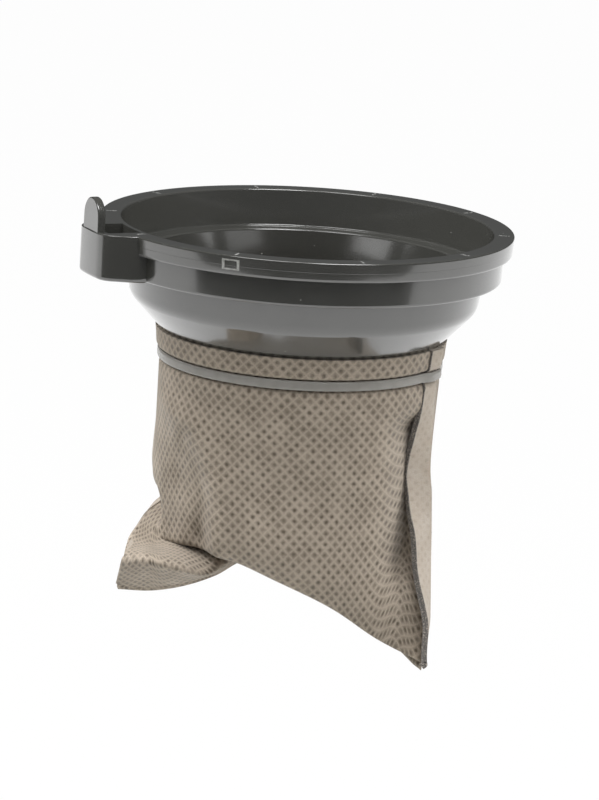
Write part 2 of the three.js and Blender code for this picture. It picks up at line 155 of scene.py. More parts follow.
def wearMarks(tree, inMm):
    # 1 on the pale scores across the flange's top and on the frame of the pinched square
    x, y, z = addNode(tree, "ShaderNodeSeparateXYZ", {0: inMm}).outputs[:3]
    angle = addNode(tree, "ShaderNodeMath", {0: y, 1: x}, operation="ARCTAN2")
    level = addNode(tree, "ShaderNodeVectorMath", {0: inMm, 1: (1, 1, 0)}, operation="MULTIPLY")
    radius = addNode(tree, "ShaderNodeVectorMath", {0: level}, operation="LENGTH").outputs["Value"]
    wear = addNode(tree, "ShaderNodeTexNoise", {"Vector": inMm, "Scale": plastic["wearPerMm"]})
    worn = addNode(tree, "ShaderNodeMath", {0: wear, 1: plastic["wearFrom"]},
                   operation="GREATER_THAN")

    # the angle is counted in steps from one score to the next, and a score lies where the count's
    # fraction is a half
    count, first, low, high = plastic["scores"]
    steps = addNode(tree, "ShaderNodeMath",
                    {0: angle, 1: count / (2 * math.pi), 2: 0.5 - first * count / 360},
                    operation="MULTIPLY_ADD")
    part = addNode(tree, "ShaderNodeMath", {0: steps}, operation="FRACT")
    onLine = addNode(tree, "ShaderNodeMath", {0: part, 1: 0.5, 2: plastic["scoreHalf"]},
                     operation="COMPARE")
    inBand = addNode(tree, "ShaderNodeMath", {0: radius, 1: (low + high) / 2, 2: (high - low) / 2},
                     operation="COMPARE")
    onTop = addNode(tree, "ShaderNodeMath", {0: z, 1: plastic["scoreHeight"]},
                    operation="GREATER_THAN")
    score = plastic["scorePaleness"]
    for factor in (onLine, inBand, onTop, worn):
        score = addNode(tree, "ShaderNodeMath", {0: factor, 1: score}, operation="MULTIPLY")

    # the frame lies where the greater of the two distances from the square's middle, each in shares
    # of half its size, is between 0.7 and 1
    turn, halfWide, halfHigh, middle = plastic["pinchMark"]
    shares = []
    for place, centre, half in ((angle, math.radians(turn), halfWide / plastic["wallRadius"]),
                                (z, middle, halfHigh)):
        away = addNode(tree, "ShaderNodeMath", {0: place, 1: centre}, operation="SUBTRACT")
        scaled = addNode(tree, "ShaderNodeMath", {0: away, 1: half}, operation="DIVIDE")
        shares.append(addNode(tree, "ShaderNodeMath", {0: scaled}, operation="ABSOLUTE"))
    share = addNode(tree, "ShaderNodeMath", {0: shares[0], 1: shares[1]}, operation="MAXIMUM")
    frameMiddle, frameHalf = plastic["pinchFrame"]
    framed = addNode(tree, "ShaderNodeMath", {0: share, 1: frameMiddle, 2: frameHalf},
                     operation="COMPARE")
    onWall = addNode(tree, "ShaderNodeMath", {0: radius, 1: plastic["pinchRadius"]},
                     operation="GREATER_THAN")
    square = wear
    for factor in (framed, onWall):
        square = addNode(tree, "ShaderNodeMath", {0: factor, 1: square}, operation="MULTIPLY")
    return addNode(tree, "ShaderNodeMath", {0: score, 1: square}, operation="MAXIMUM")


def mouldedAbs():
    # injection-moulded ABS from a polished tool: dark and glossy, with faint clouds in the gloss, a
    # few pale specks of dust and the pale marks of wear
    material, tree = newMaterial("mouldedAbs")
    coords = addNode(tree, "ShaderNodeTexCoord")
    inMm = addNode(tree, "ShaderNodeVectorMath", {0: coords.outputs["Object"], "Scale": 1 / mm},
                   operation="SCALE")
    clouds = addNode(tree, "ShaderNodeTexNoise",
                     {"Vector": inMm, "Scale": 1 / plastic["cloudMm"], "Detail": 3.0})
    low, high = plastic["roughness"]
    gloss = addNode(tree, "ShaderNodeMapRange",
                    {"Value": clouds, "From Min": 0.3, "From Max": 0.7,
                     "To Min": low, "To Max": high})
    cells = addNode(tree, "ShaderNodeTexVoronoi", {"Vector": inMm, "Scale": 1 / plastic["speckMm"]})
    picked = addNode(tree, "ShaderNodeSeparateColor", {"Color": cells.outputs["Color"]})
    near = addNode(tree, "ShaderNodeMath",
                   {0: cells.outputs["Distance"], 1: plastic["speckRadius"]}, operation="LESS_THAN")
    rare = addNode(tree, "ShaderNodeMath", {0: picked, 1: plastic["speckFree"]},
                   operation="GREATER_THAN")
    speck = addNode(tree, "ShaderNodeMath", {0: near, 1: rare}, operation="MULTIPLY")
    pale = addNode(tree, "ShaderNodeMath", {0: speck, 1: wearMarks(tree, inMm)},
                   operation="MAXIMUM")
    colour = addNode(tree, "ShaderNodeMix",
                     {"Factor": pale, "A": linear(plastic["colour"]),
                      "B": linear(plastic["dust"])}, data_type="RGBA")
    grain = addNode(tree, "ShaderNodeTexNoise",
                    {"Vector": inMm, "Scale": 1 / plastic["grainMm"], "Detail": 2.0})
    bump = addNode(tree, "ShaderNodeBump",
                   {"Height": grain, "Strength": plastic["grainStrength"],
                    "Distance": plastic["grainDepth"] * mm})
    shader = addNode(tree, "ShaderNodeBsdfPrincipled",
                     {"Base Color": colour.outputs["Result"], "Roughness": gloss, "Normal": bump,
                      "IOR": plastic["ior"], "Coat Weight": 1.0, "Coat IOR": plastic["coatIor"],
                      "Coat Roughness": plastic["coatRoughness"]})
    finishMaterial(tree, shader)
    return material


bandFinish = {
    "colour": "#a3a19c",
    "streak": "#8a8781",
    "streakMm": 3.5,
    "roughness": 0.24,
    "ior": 1.5,
    "transmission": 0.3,
}


def translucentElastomer():
    # extruded thermoplastic elastomer: grey, slightly clear and smooth, with faint darker streaks
    material, tree = newMaterial("translucentElastomer")
    coords = addNode(tree, "ShaderNodeTexCoord")
    inMm = addNode(tree, "ShaderNodeVectorMath", {0: coords.outputs["Object"], "Scale": 1 / mm},
                   operation="SCALE")
    streaks = addNode(tree, "ShaderNodeTexNoise",
                      {"Vector": inMm, "Scale": 1 / bandFinish["streakMm"], "Detail": 3.0})
    colour = addNode(tree, "ShaderNodeMix",
                     {"Factor": streaks, "A": linear(bandFinish["streak"]),
                      "B": linear(bandFinish["colour"])}, data_type="RGBA")
    shader = addNode(tree, "ShaderNodeBsdfPrincipled",
                     {"Base Color": colour.outputs["Result"], "Roughness": bandFinish["roughness"],
                      "IOR": bandFinish["ior"],
                      "Transmission Weight": bandFinish["transmission"]})
    finishMaterial(tree, shader)
    return material


cloth = {
    "colour": "#998e80",
    "shadeColour": "#776d60",
    # painted highlight on the raised net between the dots
    "ridgeHighlightColour": "#a89d8f",
    "dotColour": "#564c40",
    # painted light: the flaps' cloth is painted lighter than the bag's, for the light that falls on
    # them from the side
    "flapPaintedLightColour": "#a9a096",
    "flapDots": 0.2,         # how dark the dots are on the flaps, in shares of the bag's own
    "edgeColour": "#575451",
    "edgeRoughness": 0.8,
    "dotPitch": 2.0,         # mm between nearest pressed dots
    "dotRadius": 0.5,
    "dotEdge": 0.26,
    "dotUneven": 0.4,        # the faintest dot, in shares of the darkest
    "dotWander": 0.3,        # mm that a dot may stand off its place
    "wanderPerMm": 0.9,
    "ridgeFrom": 0.33,       # where the raised net between the dots begins, in shares of the pitch
    "ridgeStrength": 0.45,
    "fibreMm": 0.35,
    "cloudMm": 6.0,
    "roughness": (0.88, 0.42),       # between the dots and on them
    "ior": 1.49,
    "reliefDepth": 0.14,     # mm
    "reliefStrength": 0.6,
    "sheen": 0.12,
    "sheenRoughness": 0.5,
    "uvScale": 250.0,        # mm of flat cloth in one unit of the UV map
    "thickness": 0.7,
}


def spunbondCloth(name, base, shade, dotStrength):
    # spunbond polypropylene: matt felted filaments, pressed together in a lattice of small fused
    # dots that are darker and a little shiny. The raised net between the dots is painted lighter as
    # a highlight
    material, tree = newMaterial(name)
    flat = addNode(tree, "ShaderNodeUVMap", uv_map="flatCloth")
    inMm = addNode(tree, "ShaderNodeVectorMath", {0: flat, "Scale": cloth["uvScale"]},
                   operation="SCALE")
    wander = addNode(tree, "ShaderNodeTexNoise",
                     {"Vector": inMm, "Scale": cloth["wanderPerMm"], "Detail": 1.0})
    shift = addNode(tree, "ShaderNodeVectorMath",
                    {0: wander.outputs["Color"], "Scale": cloth["dotWander"]}, operation="SCALE")
    moved = addNode(tree, "ShaderNodeVectorMath", {0: inMm, 1: shift}, operation="ADD")
    lattice = addNode(tree, "ShaderNodeMapping",
                      {"Vector": moved, "Rotation": (0, 0, math.radians(45)),
                       "Scale": [1 / cloth["dotPitch"]] * 3})
    cell = addNode(tree, "ShaderNodeVectorMath", {0: lattice}, operation="FRACTION")
    centred = addNode(tree, "ShaderNodeVectorMath", {0: cell, 1: (0.5, 0.5, 0)},
                      operation="SUBTRACT")
    level = addNode(tree, "ShaderNodeVectorMath", {0: centred, 1: (1, 1, 0)}, operation="MULTIPLY")
    away = addNode(tree, "ShaderNodeVectorMath", {0: level}, operation="LENGTH")
    radius, edge, pitch = cloth["dotRadius"], cloth["dotEdge"], cloth["dotPitch"]
    dot = addNode(tree, "ShaderNodeMapRange",
                  {"Value": away.outputs["Value"], "From Min": (radius + edge) / pitch,
                   "From Max": (radius - edge) / pitch, "To Min": 0.0, "To Max": 1.0},
                  interpolation_type="SMOOTHSTEP")
    axes = addNode(tree, "ShaderNodeSeparateXYZ", {0: level}).outputs[:2]
    apartX, apartY = (addNode(tree, "ShaderNodeMath", {0: axis}, operation="ABSOLUTE")
                      for axis in axes)
    square = addNode(tree, "ShaderNodeMath", {0: apartX, 1: apartY}, operation="MAXIMUM")
    net = addNode(tree, "ShaderNodeMapRange",
                  {"Value": square, "From Min": cloth["ridgeFrom"], "From Max": 0.5},
                  interpolation_type="SMOOTHSTEP")
    fibres = addNode(tree, "ShaderNodeTexNoise",
                     {"Vector": inMm, "Scale": 1 / cloth["fibreMm"], "Detail": 4.0,
                      "Distortion": 0.6})
    clouds = addNode(tree, "ShaderNodeTexNoise",
                     {"Vector": inMm, "Scale": 1 / cloth["cloudMm"], "Detail": 3.0})
    mottle = addNode(tree, "ShaderNodeMath", {0: fibres, 1: clouds}, operation="ADD")
    tone = addNode(tree, "ShaderNodeMapRange",
                   {"Value": mottle, "From Min": 0.7, "From Max": 1.3})
    ground = addNode(tree, "ShaderNodeMix",
                     {"Factor": tone, "A": linear(shade), "B": linear(base)}, data_type="RGBA")
    raised = addNode(tree, "ShaderNodeMath", {0: net, 1: cloth["ridgeStrength"] * dotStrength},
                     operation="MULTIPLY")
    # painted highlight: the raised net between the dots is mixed towards a lighter colour
    ridgeHighlighted = addNode(tree, "ShaderNodeMix",
                     {"Factor": raised, "A": ground.outputs["Result"],
                      "B": linear(cloth["ridgeHighlightColour"])}, data_type="RGBA")
    uneven = addNode(tree, "ShaderNodeTexNoise",
                     {"Vector": inMm, "Scale": 1 / cloth["dotPitch"], "Detail": 2.0})
    pressed = addNode(tree, "ShaderNodeMapRange",
                      {"Value": uneven, "From Min": 0.35, "From Max": 0.6,
                       "To Min": cloth["dotUneven"] * dotStrength, "To Max": dotStrength})
    darkness = addNode(tree, "ShaderNodeMath", {0: dot, 1: pressed}, operation="MULTIPLY")
    colour = addNode(tree, "ShaderNodeMix",
                     {"Factor": darkness, "A": ridgeHighlighted.outputs["Result"],
                      "B": linear(cloth["dotColour"])}, data_type="RGBA")
    matt, fused = cloth["roughness"]
    roughness = addNode(tree, "ShaderNodeMapRange",
                        {"Value": darkness, "To Min": matt, "To Max": fused})
    hollow = addNode(tree, "ShaderNodeMath", {0: raised, 1: darkness}, operation="SUBTRACT")
    relief = addNode(tree, "ShaderNodeMath", {0: fibres, 1: 0.5, 2: hollow},
                     operation="MULTIPLY_ADD")
    bump = addNode(tree, "ShaderNodeBump",
                   {"Height": relief, "Strength": cloth["reliefStrength"],
                    "Distance": cloth["reliefDepth"] * mm})
    shader = addNode(tree, "ShaderNodeBsdfPrincipled",
                     {"Base Color": colour.outputs["Result"], "Roughness": roughness,
                      "Normal": bump, "IOR": cloth["ior"], "Sheen Weight": cloth["sheen"],
                      "Sheen Roughness": cloth["sheenRoughness"]})
    finishMaterial(tree, shader)
    return material


def cutEdge():
    # the cut edge of the cloth: its filaments are pressed dense and look dark grey, with pale ends
    material, tree = newMaterial("cutClothEdge")
    coords = addNode(tree, "ShaderNodeTexCoord")
    inMm = addNode(tree, "ShaderNodeVectorMath", {0: coords.outputs["Object"], "Scale": 1 / mm},
                   operation="SCALE")
    ends = addNode(tree, "ShaderNodeTexNoise",
                   {"Vector": inMm, "Scale": 1 / cloth["fibreMm"], "Detail": 3.0})
    share = addNode(tree, "ShaderNodeMapRange",
                    {"Value": ends, "From Min": 0.5, "From Max": 0.75})
    # the pale ends take the flaps' colour, which is painted lighter
    colour = addNode(tree, "ShaderNodeMix",
                     {"Factor": share, "A": linear(cloth["edgeColour"]),
                      "B": linear(cloth["flapPaintedLightColour"])}, data_type="RGBA")
    shader = addNode(tree, "ShaderNodeBsdfPrincipled",
                     {"Base Color": colour.outputs["Result"], "Roughness": cloth["edgeRoughness"],
                      "IOR": cloth["ior"]})
    finishMaterial(tree, shader)
    return material


print("materials made")


def turned(points, degrees):
    # the points turned about the Z axis
    angle = math.radians(degrees)
    c, s = math.cos(angle), math.sin(angle)
    x, y, z = np.moveaxis(np.asarray(points, float), -1, 0)
    return np.stack([c * x - s * y, s * x + c * y, z], -1)


def gridFaces(rows, columns, around):
    # each cell of a rows x columns grid is one quad; around joins the last column to the first
    r, c = np.meshgrid(np.arange(rows - 1), np.arange(columns if around else columns - 1),
                       indexing="ij")
    r, c = r.ravel(), c.ravel()
    after = (c + 1) % columns
    return np.stack([r * columns + c, (r + 1) * columns + c, (r + 1) * columns + after,
                     r * columns + after], -1)


def makePiece(name, points, faces, materials, faceMaterial=None, cornerUv=None):
    # a mesh object in metres, placed at the origin, from points in mm
    mesh = bpy.data.meshes.new(name)
    mesh.from_pydata((np.asarray(points) * mm).tolist(), [], [list(map(int, f)) for f in faces])
    if cornerUv is not None:
        layer = mesh.uv_layers.new(name="flatCloth")
        layer.data.foreach_set("uv", np.asarray(cornerUv, np.float32).ravel())
    for material in materials:
        mesh.materials.append(material)
    if faceMaterial is not None:
        mesh.polygons.foreach_set("material_index", np.asarray(faceMaterial, np.int32))
    mesh.validate()
    piece = bpy.data.objects.new(name, mesh)
    bpy.context.scene.collection.objects.link(piece)
    return piece


def cleanMesh(piece, mergeMm=0.001, outwards=True):
    # doubled points become one and, on a closed solid, all faces point outwards
    work = bmesh.new()
    work.from_mesh(piece.data)
    bmesh.ops.remove_doubles(work, verts=work.verts, dist=mergeMm * mm)
    if outwards:
        bmesh.ops.recalc_face_normals(work, faces=work.faces)
    work.to_mesh(piece.data)
    work.free()


def smoothShade(piece, degrees):
    # smooth faces, with a hard edge wherever two of them meet at more than this angle
    piece.data.polygons.foreach_set("use_smooth", np.ones(len(piece.data.polygons), bool))
    piece.data.set_sharp_from_angle(angle=math.radians(degrees))


def applyModifiers(piece):
    # the mesh with its modifiers applied takes the place of the plain one
    graph = bpy.context.evaluated_depsgraph_get()
    mesh = bpy.data.meshes.new_from_object(piece.evaluated_get(graph))
    piece.modifiers.clear()
    piece.data = mesh


ring = {
    "segments": 288,
    "cornerSteps": 5,
    "sharpAngle": 32,        # degrees
    "lugReach": 60.4,
    "lugTip": 8.0,
    "lugRoot": 11.2,
    "lugCorner": 3.0,
    "lugWall": 2.4,
    "lugFrom": 48.6,         # radius, inside the flange, where the lug's plan begins
    "lugLeaves": 53.0,       # radius where it leaves the flange's wall
    "lugTop": 5.0,
    "lugBottom": -6.9,
    "lugRounds": (1.1, 0.35),        # bottom and top edge
    "pocketBottom": -4.9,
    "pocketHalf": 6.0,
    "pocketInner": 49.2,
    "pocketRound": 0.6,
    "pocketOver": 2.0,       # how far the cutter stands out of the pocket's mouth
    "finHeight": 8.2,
    "finWidth": 9.4,
    "finInset": 0.3,
    "finRounds": (0.35, 0.45),       # outer and inner face
    "planSteps": (9, 13, 25),        # points on a corner of the lug, on an arc, on the fin's top
    # section as radius, height and how far the round at each corner reaches along its sides, from
    # the neck's lower end up the outside and down the inside
    "section": (
        (32.2, -34.8, 0.3), (35.05, -34.8, 0.6), (35.05, -32.25, 0.15), (34.125, -32.25, 0.15),
        (34.125, -27.2, 0.15), (36.0, -27.2, 0.25), (36.0, -23.4, 0.2), (36.6, -22.8, 0.3),
        (44.6, -14.45, 1.7), (45.8, -6.9, 0.25), (50.25, -6.9, 0.8), (50.5, 0.0, 0.25),
        (52.6, 0.0, 0.8), (52.79, 2.4, 0.03), (52.82, 2.45, 0.02), (52.81, 2.5, 0.03),
        (53.0, 5.0, 0.5), (47.7, 5.0, 0.5), (46.5, -4.5, 0.4), (41.5, -4.5, 0.5),
        (41.5, -13.06, 0.9), (32.2, -22.4, 1.0),
    ),
}


def roundedOutline(corners, steps):
    # each corner becomes a quadratic curve from one tangent point to the other, with the corner
    # itself as the control point
    corners = np.asarray(corners, float)
    place, reach = corners[:, :2], corners[:, 2:]
    before, after = np.roll(place, 1, 0) - place, np.roll(place, -1, 0) - place
    start = place + before / np.linalg.norm(before, axis=1, keepdims=True) * reach
    end = place + after / np.linalg.norm(after, axis=1, keepdims=True) * reach
    t = np.linspace(0, 1, steps)[None, :, None]
    return ((1 - t) ** 2 * start[:, None] + 2 * t * (1 - t) * place[:, None]
            + t ** 2 * end[:, None]).reshape(-1, 2)


def turnedSolid(name, outline, segments, material):
    # the closed outline of radius and height carried round the Z axis
    angle = np.linspace(0, 2 * math.pi, segments, endpoint=False)
    radius, height = outline[:, 0][:, None], outline[:, 1][:, None]
    points = np.stack([radius * np.cos(angle), radius * np.sin(angle), height + 0 * angle], -1)
    closed = np.concatenate([points, points[:1]])
    piece = makePiece(name, closed.reshape(-1, 3), gridFaces(len(closed), segments, True),
                      [material])
    cleanMesh(piece)
    return piece


def stackedSolid(name, plan, levels, material):
    # the flat plan repeated at each level's height, moved inwards along its own normals by each
    # level's inset, and closed with one face at each end
    plan = np.asarray(plan, float)
    along = np.roll(plan, -1, 0) - np.roll(plan, 1, 0)
    along /= np.linalg.norm(along, axis=1, keepdims=True)
    area = np.sum(plan[:, 0] * np.roll(plan[:, 1], -1) - plan[:, 1] * np.roll(plan[:, 0], -1))
    inward = np.stack([-along[:, 1], along[:, 0]], -1) * np.sign(area)
    levels = np.asarray(levels, float)
    flat = plan[None] + inward[None] * levels[:, 1][:, None, None]
    height = np.broadcast_to(levels[:, 0][:, None, None], flat.shape[:2] + (1,))
    points = np.concatenate([flat, height], -1)
    rows, columns = flat.shape[:2]
    faces = [list(f) for f in gridFaces(rows, columns, True)]
    faces.append(list(range(columns)))
    faces.append(list(range((rows - 1) * columns, rows * columns)))
    piece = makePiece(name, points.reshape(-1, 3), faces, [material])
    cleanMesh(piece)
    return piece


def roundLevels(bottom, top, bottomRound, topRound, steps=5):
    # heights and insets of a wall whose lower and upper edge are quarter rounds
    t = np.linspace(0, math.pi / 2, steps)
    low = np.stack([bottom + bottomRound * (1 - np.cos(t)), bottomRound * (1 - np.sin(t))], -1)
    high = np.stack([top - topRound * (1 - np.sin(t)), topRound * (1 - np.cos(t))], -1)
    return np.concatenate([low, high])


def lugPlan():
    # slanted sides out to an arc about the ring's axis, with quadratic corners
    reach, tip, root, corner = (ring[key] for key in ("lugReach", "lugTip", "lugRoot", "lugCorner"))
    face = math.sqrt(reach ** 2 - tip ** 2)
    slant = (root - tip) / (reach - ring["lugLeaves"])
    faceEnd = tip - corner
    angle = math.asin(faceEnd / reach)
    cornerSteps, arcSteps, _ = ring["planSteps"]
    t = np.linspace(0, 1, cornerSteps)[:, None]
    side, middle, end = (np.array(p) for p in ((-face + corner, tip + slant * corner), (-face, tip),
                                               (-reach * math.cos(angle), faceEnd)))
    bend = (1 - t) ** 2 * side + 2 * t * (1 - t) * middle + t ** 2 * end
    sweep = np.linspace(angle, -angle, arcSteps)[1:-1]
    arc = np.stack([-reach * np.cos(sweep), reach * np.sin(sweep)], -1)
    upper = np.concatenate([[(-ring["lugFrom"], root), (-ring["lugLeaves"], root)], bend])
    lower = upper[::-1] * (1, -1)
    return np.concatenate([upper, arc, lower])


def pocketPlan():
    # an outer arc inside the lug's wall and an inner arc outside the bore
    outer, inner, half = ring["lugReach"] - ring["lugWall"], ring["pocketInner"], ring["pocketHalf"]
    wide, narrow = math.asin(half / outer), math.asin(half / inner)
    steps = ring["planSteps"][1]
    outside = np.linspace(wide, -wide, steps)
    inside = np.linspace(-narrow, narrow, steps)
    return np.concatenate([np.stack([-outer * np.cos(outside), outer * np.sin(outside)], -1),
                           np.stack([-inner * np.cos(inside), inner * np.sin(inside)], -1)])


def finPlan():
    # a tab with a half-round top, as across and height
    half = ring["finWidth"] / 2
    shoulder = ring["lugTop"] + ring["finHeight"] - half
    t = np.linspace(0, math.pi, ring["planSteps"][2])
    top = np.stack([half * np.cos(t), shoulder + half * np.sin(t)], -1)
    foot = ring["lugTop"] - ring["lugWall"]
    return np.concatenate([[(-half, foot), (half, foot)], top])


def combine(target, other, operation):
    # the other solid is joined to the target or cut from it, and is then gone
    modifier = target.modifiers.new(operation, "BOOLEAN")
    modifier.operation = operation
    modifier.solver = "EXACT"
    modifier.object = other
    applyModifiers(target)
    bpy.data.objects.remove(other)


def makeRing():
    resin = mouldedAbs()
    outline = roundedOutline(ring["section"], ring["cornerSteps"])
    piece = turnedSolid("funnelRing", outline, ring["segments"], resin)
    levels = roundLevels(ring["lugBottom"], ring["lugTop"], *ring["lugRounds"])
    combine(piece, stackedSolid("lug", lugPlan(), levels, resin), "UNION")
    levels = roundLevels(ring["pocketBottom"], ring["lugTop"] + ring["pocketOver"],
                         ring["pocketRound"], 0.0)
    combine(piece, stackedSolid("pocket", pocketPlan(), levels, resin), "DIFFERENCE")
    # the fin is stacked along its thickness and then stood upright
    outer = ring["lugReach"] - ring["finInset"]
    inner = ring["lugReach"] - ring["lugWall"]
    fin = stackedSolid("fin", finPlan(), roundLevels(-outer, -inner, *ring["finRounds"]), resin)
    upright = np.array([v.co for v in fin.data.vertices])[:, [2, 0, 1]]
    fin.data.vertices.foreach_set("co", upright.astype(np.float32).ravel())
    cleanMesh(fin)
    combine(piece, fin, "UNION")
    smoothShade(piece, ring["sharpAngle"])
    # the walls shade flat right up to their rounded edges
    flatWalls = piece.modifiers.new("flatWalls", "WEIGHTED_NORMAL")
    flatWalls.keep_sharp = True
    applyModifiers(piece)
    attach(piece, "root")
    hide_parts("filter_ring")


makeRing()
print("ring made")


bag = {
    "columns": 224,
    "rows": 130,
    "foldRows": 3,
    "radius": 35.7,          # of the cloth where it leaves the neck
    "length": 73.0,          # mm that hang below the neck
    "top": -32.55,
    "onLip": 2.25 / 73.0,    # share of the length that hangs straight along the lip
    "seamTurn": -17.0,       # degrees from the camera's right to the right seam
    "turn": -25.3,           # degrees from the part's X axis to the camera's right
    "foldSlot": 1.6,
    "waistEase": 0.36,       # how far the cloth has gone, half-way, from the circle to its crease
    "partOver": 1 / 28,      # share of a ply's width over which the plies part beside a seam
    "collarRows": 30,
    "mergeMm": 0.002,
    "sharpAngle": 50,        # degrees
    "flapWidth": 7.0,
    "flapEdge": 0.25,        # width of the dark strip along the flap's free edge
    "flapRise": 1.7,         # how much higher the flap's free corner ends than the seam
    "riseFrom": 0.85,        # share of the length where that begins
    "flapSteps": 10,
    "flapLies": 0.16,        # share of the length over which the flap leaves the cloth
    "flapBend": 36.6,        # mm, radius at which it lies round the collar
    "flapLift": 0.95,        # mm off the collar, reached within flapLiftOver
    "flapLiftOver": 1.2,
    "flapGap": 0.03,         # mm between the flap's two plies
    # middle line of the cloth over the neck, as radius and height
    "collar": (
        (37.1, -22.72), (36.85, -24.8), (36.65, -27.15), (36.425, -27.64), (35.99, -27.85),
        (35.24, -27.92), (34.87, -28.27), (34.775, -28.83), (34.775, -30.62), (34.87, -31.18),
        (35.1, -31.53), (35.47, -31.81), (35.65, -32.23),
    ),
    # lines the front ply passes through, from the right seam to the left one: share of the width,
    # share of the length, then X and Y in shares of the radius and drop in shares of the length
    "crease": (
        (0, 0.95, 1.01, -0.826, 0.93), (0.15, 0.88, 0.672, -0.88, 0.848),
        (0.3, 0.8, 0.333, -0.9, 0.747), (0.45, 0.7, -0.091, -0.915, 0.656),
        (0.58, 0.6, -0.427, -0.76, 0.606), (0.7, 0.54, -0.667, -0.63, 0.585),
        (0.8, 0.52, -0.836, -0.476, 0.588), (0.9, 0.51, -0.987, -0.25, 0.57),
        (1, 0.51, -1.04, -0.1, 0.54),
    ),
    "tuck": (
        (0, 0.965, 1.011, -0.829, 0.936), (0.15, 0.92, 0.717, -0.616, 0.864),
        (0.3, 0.865, 0.345, -0.476, 0.756), (0.45, 0.8, -0.099, -0.364, 0.659),
        (0.58, 0.72, -0.409, -0.45, 0.6), (0.7, 0.66, -0.64, -0.42, 0.6),
        (0.8, 0.62, -0.823, -0.364, 0.612), (0.9, 0.62, -1.0, -0.42, 0.618),
        (1, 0.68, -1.138, -0.392, 0.611),
    ),
    "shelfEdge": (
        (0, 0.98, 1.012, -0.835, 0.943), (0.15, 0.96, 0.764, -0.42, 0.895),
        (0.3, 0.93, 0.374, -0.252, 0.775), (0.45, 0.91, -0.044, -0.28, 0.653),
        (0.58, 0.9, -0.346, -0.42, 0.624), (0.7, 0.92, -0.576, -0.756, 0.669),
        (0.8, 0.93, -0.773, -0.938, 0.637), (0.9, 0.91, -0.973, -0.924, 0.621),
        (1, 0.86, -1.163, -0.728, 0.647),
    ),
    "fold": (
        (0, 1, 0.992, -0.84, 0.951), (0.15, 1, 0.782, -0.392, 0.912),
        (0.3, 1, 0.391, -0.168, 0.792), (0.45, 1, 0.004, -0.224, 0.695),
        (0.58, 1, -0.301, -0.364, 0.651), (0.7, 1, -0.526, -0.56, 0.691),
        (0.8, 1, -0.732, -0.62, 0.725), (0.9, 1, -0.962, -0.56, 0.756),
        (1, 1, -1.204, -0.45, 0.7715),
    ),
    "rowsAbove": (0, 0.5, 0.64, 0.86, 1),   # share of the rows above each of these lines
    # the one line that the back ply passes through on its way to the fold
    "back": (
        (0, 0.63, 0.98, -0.3, 0.62), (0.25, 0.63, 0.62, 0.34, 0.62),
        (0.5, 0.63, 0, 0.56, 0.6), (0.75, 0.63, -0.55, 0.3, 0.66), (1, 0.63, -0.85, -0.1, 0.74),
    ),
    # creases: whether on the front ply only, line in shares of the width and the length, then push
    # and spread in shares of the radius
    "creases": (
        (True, ((0.78, 0.06), (0.68, 0.14), (0.6, 0.35), (0.6, 0.55)), (-0.03, -0.1, 0), 0.16),
        (True, ((0.68, 0.2), (0.64, 0.3), (0.63, 0.4), (0.66, 0.5)), (0, 0.09, 0), 0.13),
        (True, ((0.74, 0.34), (0.82, 0.46)), (0, 0.08, 0), 0.2),
        (True, ((0.09, 0.16), (0.085, 0.6)), (0, 0.24, 0), 0.19),
        (False, ((0, 0.4), (0, 0.8)), (0.02, 0, 0), 0.14),
        (False, ((0.9, 0.45), (1, 0.45)), (0.15, 0.05, 0), 0.1),
    ),
    # where each flap points: share of the length, X, Y
    "rightLean": ((0, -0.4, -0.92), (0.1, -0.5, -0.87), (0.2, -0.7, -0.71), (0.33, -0.9, -0.44),
                  (0.42, -0.85, -0.53), (0.52, -0.62, -0.78), (0.64, -0.5, -0.87),
                  (0.8, -0.1, -1), (1, 0, -1)),
    "leftLean": ((0, -0.1, 1), (0.45, 0, 1), (0.6, 0.3, 0.95), (1, 0.35, 0.94)),
}


def curveThrough(rows, places):
    # cubic Hermite curve through the rows, whose first number is the place along it; the slope at
    # each row is that between its two neighbours
    rows = np.asarray(rows, float)
    x, y = rows[:, 0], rows[:, 1:]
    last = len(x) - 1
    before, after = np.maximum(np.arange(len(x)) - 1, 0), np.minimum(np.arange(len(x)) + 1, last)
    slope = (y[after] - y[before]) / (x[after] - x[before])[:, None]
    places = np.asarray(places, float)
    i = np.clip(np.searchsorted(x, places, side="left") - 1, 0, last - 1)
    step = (x[i + 1] - x[i])[..., None]
    s = ((places - x[i]) / (x[i + 1] - x[i]))[..., None]
    return ((2 * s ** 3 - 3 * s ** 2 + 1) * y[i] + (s ** 3 - 2 * s ** 2 + s) * step * slope[i]
            + (3 * s ** 2 - 2 * s ** 3) * y[i + 1] + (s ** 3 - s ** 2) * step * slope[i + 1])


def distanceToLine(points, line):
    # least distance from each flat point to the pieces of the line
    line = np.asarray(line, float)
    nearest = np.full(points.shape[:-1], np.inf)
    for start, end in zip(line[:-1], line[1:]):
        along = end - start
        share = np.clip((points - start) @ along / (along @ along), 0, 1)
        away = points - start - share[..., None] * along
        nearest = np.minimum(nearest, np.linalg.norm(away, axis=-1))
    return nearest


def smoothstep(value, low, high):
    # 0 up to low, 1 from high, and t^2 (3 - 2 t) between them
    t = np.clip((value - low) / (high - low), 0, 1)
    return t * t * (3 - 2 * t)


def creasePush(isFront, across, down):
    # each crease pushes by exp(-(distance / spread)^2), with distances on the flat cloth, and they
    # fade in between the lip and five times as far down
    width = math.pi * bag["radius"]
    flat = np.stack([across * width, down * bag["length"]], -1)
    total = np.zeros(across.shape + (3,))
    for frontOnly, line, push, spread in bag["creases"]:
        onFlat = [(a * width, d * bag["length"]) for a, d in line]
        strength = np.exp(-(distanceToLine(flat, onFlat) / (spread * bag["radius"])) ** 2)
        if frontOnly:
            strength = strength * isFront
        total += strength[..., None] * np.array(push) * bag["radius"]
    return total * smoothstep(down, bag["onLip"], 5 * bag["onLip"])[..., None]


